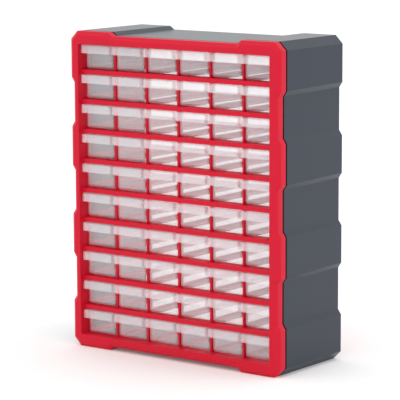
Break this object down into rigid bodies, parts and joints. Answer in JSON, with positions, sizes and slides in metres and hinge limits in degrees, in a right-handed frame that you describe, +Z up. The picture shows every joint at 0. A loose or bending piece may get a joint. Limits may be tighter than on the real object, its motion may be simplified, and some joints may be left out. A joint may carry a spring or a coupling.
{
  "type": "parts bin cabinet",
  "caption": "Upright small-parts cabinet: grey shell, open at the back, red front frame and grid, clear drawers with hooded pulls.",
  "frame": {"origin": "centre of the cabinet's width and depth, on the surface that it stands on", "axes": "+Z up, +X to the right as seen from the front, and the drawers open towards -Y"},
  "size_m": [0.38, 0.158, 0.475],
  "materials": {
    "shell_plastic": "satin moulded plastic, slate grey",
    "frame_plastic": "satin moulded plastic, coral red",
    "drawer_plastic": "clear moulded plastic, slightly milky"
  },
  "bodies": {
    "cabinet": {"rear_shell": "shell_plastic", "front_frame": "frame_plastic", "cell_grid": "frame_plastic"},
    "drawer_row01_col1": {"drawer_row01_col1": "drawer_plastic"},
    "drawer_row01_col2": {"drawer_row01_col2": "drawer_plastic"},
    "drawer_row01_col3": {"drawer_row01_col3": "drawer_plastic"},
    "drawer_row01_col4": {"drawer_row01_col4": "drawer_plastic"},
    "drawer_row01_col5": {"drawer_row01_col5": "drawer_plastic"},
    "drawer_row01_col6": {"drawer_row01_col6": "drawer_plastic"},
    "drawer_row02_col1": {"drawer_row02_col1": "drawer_plastic"},
    "drawer_row02_col2": {"drawer_row02_col2": "drawer_plastic"},
    "drawer_row02_col3": {"drawer_row02_col3": "drawer_plastic"},
    "drawer_row02_col4": {"drawer_row02_col4": "drawer_plastic"},
    "drawer_row02_col5": {"drawer_row02_col5": "drawer_plastic"},
    "drawer_row02_col6": {"drawer_row02_col6": "drawer_plastic"},
    "drawer_row03_col1": {"drawer_row03_col1": "drawer_plastic"},
    "drawer_row03_col2": {"drawer_row03_col2": "drawer_plastic"},
    "drawer_row03_col3": {"drawer_row03_col3": "drawer_plastic"},
    "drawer_row03_col4": {"drawer_row03_col4": "drawer_plastic"},
    "drawer_row03_col5": {"drawer_row03_col5": "drawer_plastic"},
    "drawer_row03_col6": {"drawer_row03_col6": "drawer_plastic"},
    "drawer_row04_col1": {"drawer_row04_col1": "drawer_plastic"},
    "drawer_row04_col2": {"drawer_row04_col2": "drawer_plastic"},
    "drawer_row04_col3": {"drawer_row04_col3": "drawer_plastic"},
    "drawer_row04_col4": {"drawer_row04_col4": "drawer_plastic"},
    "drawer_row04_col5": {"drawer_row04_col5": "drawer_plastic"},
    "drawer_row04_col6": {"drawer_row04_col6": "drawer_plastic"},
    "drawer_row05_col1": {"drawer_row05_col1": "drawer_plastic"},
    "drawer_row05_col2": {"drawer_row05_col2": "drawer_plastic"},
    "drawer_row05_col3": {"drawer_row05_col3": "drawer_plastic"},
    "drawer_row05_col4": {"drawer_row05_col4": "drawer_plastic"},
    "drawer_row05_col5": {"drawer_row05_col5": "drawer_plastic"},
    "drawer_row05_col6": {"drawer_row05_col6": "drawer_plastic"},
    "drawer_row06_col1": {"drawer_row06_col1": "drawer_plastic"},
    "drawer_row06_col2": {"drawer_row06_col2": "drawer_plastic"},
    "drawer_row06_col3": {"drawer_row06_col3": "drawer_plastic"},
    "drawer_row06_col4": {"drawer_row06_col4": "drawer_plastic"},
    "drawer_row06_col5": {"drawer_row06_col5": "drawer_plastic"},
    "drawer_row06_col6": {"drawer_row06_col6": "drawer_plastic"},
    "drawer_row07_col1": {"drawer_row07_col1": "drawer_plastic"},
    "drawer_row07_col2": {"drawer_row07_col2": "drawer_plastic"},
    "drawer_row07_col3": {"drawer_row07_col3": "drawer_plastic"},
    "drawer_row07_col4": {"drawer_row07_col4": "drawer_plastic"},
    "drawer_row07_col5": {"drawer_row07_col5": "drawer_plastic"},
    "drawer_row07_col6": {"drawer_row07_col6": "drawer_plastic"},
    "drawer_row08_col1": {"drawer_row08_col1": "drawer_plastic"},
    "drawer_row08_col2": {"drawer_row08_col2": "drawer_plastic"},
    "drawer_row08_col3": {"drawer_row08_col3": "drawer_plastic"},
    "drawer_row08_col4": {"drawer_row08_col4": "drawer_plastic"},
    "drawer_row08_col5": {"drawer_row08_col5": "drawer_plastic"},
    "drawer_row08_col6": {"drawer_row08_col6": "drawer_plastic"},
    "drawer_row09_col1": {"drawer_row09_col1": "drawer_plastic"},
    "drawer_row09_col2": {"drawer_row09_col2": "drawer_plastic"},
    "drawer_row09_col3": {"drawer_row09_col3": "drawer_plastic"},
    "drawer_row09_col4": {"drawer_row09_col4": "drawer_plastic"},
    "drawer_row09_col5": {"drawer_row09_col5": "drawer_plastic"},
    "drawer_row09_col6": {"drawer_row09_col6": "drawer_plastic"},
    "drawer_row10_col1_and_col2": {"drawer_row10_col1_and_col2": "drawer_plastic"},
    "drawer_row10_col3_and_col4": {"drawer_row10_col3_and_col4": "drawer_plastic"},
    "drawer_row10_col5_and_col6": {"drawer_row10_col5_and_col6": "drawer_plastic"}
  },
  "joints": [
    {"name": "slide_row01_col1", "type": "slide", "parent": "cabinet", "child": "drawer_row01_col1", "axis": [0, -1, 0], "range_m": [0, 0.12]},
    {"name": "slide_row01_col2", "type": "slide", "parent": "cabinet", "child": "drawer_row01_col2", "axis": [0, -1, 0], "range_m": [0, 0.12]},
    {"name": "slide_row01_col3", "type": "slide", "parent": "cabinet", "child": "drawer_row01_col3", "axis": [0, -1, 0], "range_m": [0, 0.12]},
    {"name": "slide_row01_col4", "type": "slide", "parent": "cabinet", "child": "drawer_row01_col4", "axis": [0, -1, 0], "range_m": [0, 0.12]},
    {"name": "slide_row01_col5", "type": "slide", "parent": "cabinet", "child": "drawer_row01_col5", "axis": [0, -1, 0], "range_m": [0, 0.12]},
    {"name": "slide_row01_col6", "type": "slide", "parent": "cabinet", "child": "drawer_row01_col6", "axis": [0, -1, 0], "range_m": [0, 0.12]},
    {"name": "slide_row02_col1", "type": "slide", "parent": "cabinet", "child": "drawer_row02_col1", "axis": [0, -1, 0], "range_m": [0, 0.12]},
    {"name": "slide_row02_col2", "type": "slide", "parent": "cabinet", "child": "drawer_row02_col2", "axis": [0, -1, 0], "range_m": [0, 0.12]},
    {"name": "slide_row02_col3", "type": "slide", "parent": "cabinet", "child": "drawer_row02_col3", "axis": [0, -1, 0], "range_m": [0, 0.12]},
    {"name": "slide_row02_col4", "type": "slide", "parent": "cabinet", "child": "drawer_row02_col4", "axis": [0, -1, 0], "range_m": [0, 0.12]},
    {"name": "slide_row02_col5", "type": "slide", "parent": "cabinet", "child": "drawer_row02_col5", "axis": [0, -1, 0], "range_m": [0, 0.12]},
    {"name": "slide_row02_col6", "type": "slide", "parent": "cabinet", "child": "drawer_row02_col6", "axis": [0, -1, 0], "range_m": [0, 0.12]},
    {"name": "slide_row03_col1", "type": "slide", "parent": "cabinet", "child": "drawer_row03_col1", "axis": [0, -1, 0], "range_m": [0, 0.12]},
    {"name": "slide_row03_col2", "type": "slide", "parent": "cabinet", "child": "drawer_row03_col2", "axis": [0, -1, 0], "range_m": [0, 0.12]},
    {"name": "slide_row03_col3", "type": "slide", "parent": "cabinet", "child": "drawer_row03_col3", "axis": [0, -1, 0], "range_m": [0, 0.12]},
    {"name": "slide_row03_col4", "type": "slide", "parent": "cabinet", "child": "drawer_row03_col4", "axis": [0, -1, 0], "range_m": [0, 0.12]},
    {"name": "slide_row03_col5", "type": "slide", "parent": "cabinet", "child": "drawer_row03_col5", "axis": [0, -1, 0], "range_m": [0, 0.12]},
    {"name": "slide_row03_col6", "type": "slide", "parent": "cabinet", "child": "drawer_row03_col6", "axis": [0, -1, 0], "range_m": [0, 0.12]},
    {"name": "slide_row04_col1", "type": "slide", "parent": "cabinet", "child": "drawer_row04_col1", "axis": [0, -1, 0], "range_m": [0, 0.12]},
    {"name": "slide_row04_col2", "type": "slide", "parent": "cabinet", "child": "drawer_row04_col2", "axis": [0, -1, 0], "range_m": [0, 0.12]},
    {"name": "slide_row04_col3", "type": "slide", "parent": "cabinet", "child": "drawer_row04_col3", "axis": [0, -1, 0], "range_m": [0, 0.12]},
    {"name": "slide_row04_col4", "type": "slide", "parent": "cabinet", "child": "drawer_row04_col4", "axis": [0, -1, 0], "range_m": [0, 0.12]},
    {"name": "slide_row04_col5", "type": "slide", "parent": "cabinet", "child": "drawer_row04_col5", "axis": [0, -1, 0], "range_m": [0, 0.12]},
    {"name": "slide_row04_col6", "type": "slide", "parent": "cabinet", "child": "drawer_row04_col6", "axis": [0, -1, 0], "range_m": [0, 0.12]},
    {"name": "slide_row05_col1", "type": "slide", "parent": "cabinet", "child": "drawer_row05_col1", "axis": [0, -1, 0], "range_m": [0, 0.12]},
    {"name": "slide_row05_col2", "type": "slide", "parent": "cabinet", "child": "drawer_row05_col2", "axis": [0, -1, 0], "range_m": [0, 0.12]},
    {"name": "slide_row05_col3", "type": "slide", "parent": "cabinet", "child": "drawer_row05_col3", "axis": [0, -1, 0], "range_m": [0, 0.12]},
    {"name": "slide_row05_col4", "type": "slide", "parent": "cabinet", "child": "drawer_row05_col4", "axis": [0, -1, 0], "range_m": [0, 0.12]},
    {"name": "slide_row05_col5", "type": "slide", "parent": "cabinet", "child": "drawer_row05_col5", "axis": [0, -1, 0], "range_m": [0, 0.12]},
    {"name": "slide_row05_col6", "type": "slide", "parent": "cabinet", "child": "drawer_row05_col6", "axis": [0, -1, 0], "range_m": [0, 0.12]},
    {"name": "slide_row06_col1", "type": "slide", "parent": "cabinet", "child": "drawer_row06_col1", "axis": [0, -1, 0], "range_m": [0, 0.12]},
    {"name": "slide_row06_col2", "type": "slide", "parent": "cabinet", "child": "drawer_row06_col2", "axis": [0, -1, 0], "range_m": [0, 0.12]},
    {"name": "slide_row06_col3", "type": "slide", "parent": "cabinet", "child": "drawer_row06_col3", "axis": [0, -1, 0], "range_m": [0, 0.12]},
    {"name": "slide_row06_col4", "type": "slide", "parent": "cabinet", "child": "drawer_row06_col4", "axis": [0, -1, 0], "range_m": [0, 0.12]},
    {"name": "slide_row06_col5", "type": "slide", "parent": "cabinet", "child": "drawer_row06_col5", "axis": [0, -1, 0], "range_m": [0, 0.12]},
    {"name": "slide_row06_col6", "type": "slide", "parent": "cabinet", "child": "drawer_row06_col6", "axis": [0, -1, 0], "range_m": [0, 0.12]},
    {"name": "slide_row07_col1", "type": "slide", "parent": "cabinet", "child": "drawer_row07_col1", "axis": [0, -1, 0], "range_m": [0, 0.12]},
    {"name": "slide_row07_col2", "type": "slide", "parent": "cabinet", "child": "drawer_row07_col2", "axis": [0, -1, 0], "range_m": [0, 0.12]},
    {"name": "slide_row07_col3", "type": "slide", "parent": "cabinet", "child": "drawer_row07_col3", "axis": [0, -1, 0], "range_m": [0, 0.12]},
    {"name": "slide_row07_col4", "type": "slide", "parent": "cabinet", "child": "drawer_row07_col4", "axis": [0, -1, 0], "range_m": [0, 0.12]},
    {"name": "slide_row07_col5", "type": "slide", "parent": "cabinet", "child": "drawer_row07_col5", "axis": [0, -1, 0], "range_m": [0, 0.12]},
    {"name": "slide_row07_col6", "type": "slide", "parent": "cabinet", "child": "drawer_row07_col6", "axis": [0, -1, 0], "range_m": [0, 0.12]},
    {"name": "slide_row08_col1", "type": "slide", "parent": "cabinet", "child": "drawer_row08_col1", "axis": [0, -1, 0], "range_m": [0, 0.12]},
    {"name": "slide_row08_col2", "type": "slide", "parent": "cabinet", "child": "drawer_row08_col2", "axis": [0, -1, 0], "range_m": [0, 0.12]},
    {"name": "slide_row08_col3", "type": "slide", "parent": "cabinet", "child": "drawer_row08_col3", "axis": [0, -1, 0], "range_m": [0, 0.12]},
    {"name": "slide_row08_col4", "type": "slide", "parent": "cabinet", "child": "drawer_row08_col4", "axis": [0, -1, 0], "range_m": [0, 0.12]},
    {"name": "slide_row08_col5", "type": "slide", "parent": "cabinet", "child": "drawer_row08_col5", "axis": [0, -1, 0], "range_m": [0, 0.12]},
    {"name": "slide_row08_col6", "type": "slide", "parent": "cabinet", "child": "drawer_row08_col6", "axis": [0, -1, 0], "range_m": [0, 0.12]},
    {"name": "slide_row09_col1", "type": "slide", "parent": "cabinet", "child": "drawer_row09_col1", "axis": [0, -1, 0], "range_m": [0, 0.12]},
    {"name": "slide_row09_col2", "type": "slide", "parent": "cabinet", "child": "drawer_row09_col2", "axis": [0, -1, 0], "range_m": [0, 0.12]},
    {"name": "slide_row09_col3", "type": "slide", "parent": "cabinet", "child": "drawer_row09_col3", "axis": [0, -1, 0], "range_m": [0, 0.12]},
    {"name": "slide_row09_col4", "type": "slide", "parent": "cabinet", "child": "drawer_row09_col4", "axis": [0, -1, 0], "range_m": [0, 0.12]},
    {"name": "slide_row09_col5", "type": "slide", "parent": "cabinet", "child": "drawer_row09_col5", "axis": [0, -1, 0], "range_m": [0, 0.12]},
    {"name": "slide_row09_col6", "type": "slide", "parent": "cabinet", "child": "drawer_row09_col6", "axis": [0, -1, 0], "range_m": [0, 0.12]},
    {"name": "slide_row10_col1_and_col2", "type": "slide", "parent": "cabinet", "child": "drawer_row10_col1_and_col2", "axis": [0, -1, 0], "range_m": [0, 0.12]},
    {"name": "slide_row10_col3_and_col4", "type": "slide", "parent": "cabinet", "child": "drawer_row10_col3_and_col4", "axis": [0, -1, 0], "range_m": [0, 0.12]},
    {"name": "slide_row10_col5_and_col6", "type": "slide", "parent": "cabinet", "child": "drawer_row10_col5_and_col6", "axis": [0, -1, 0], "range_m": [0, 0.12]}
  ]
}
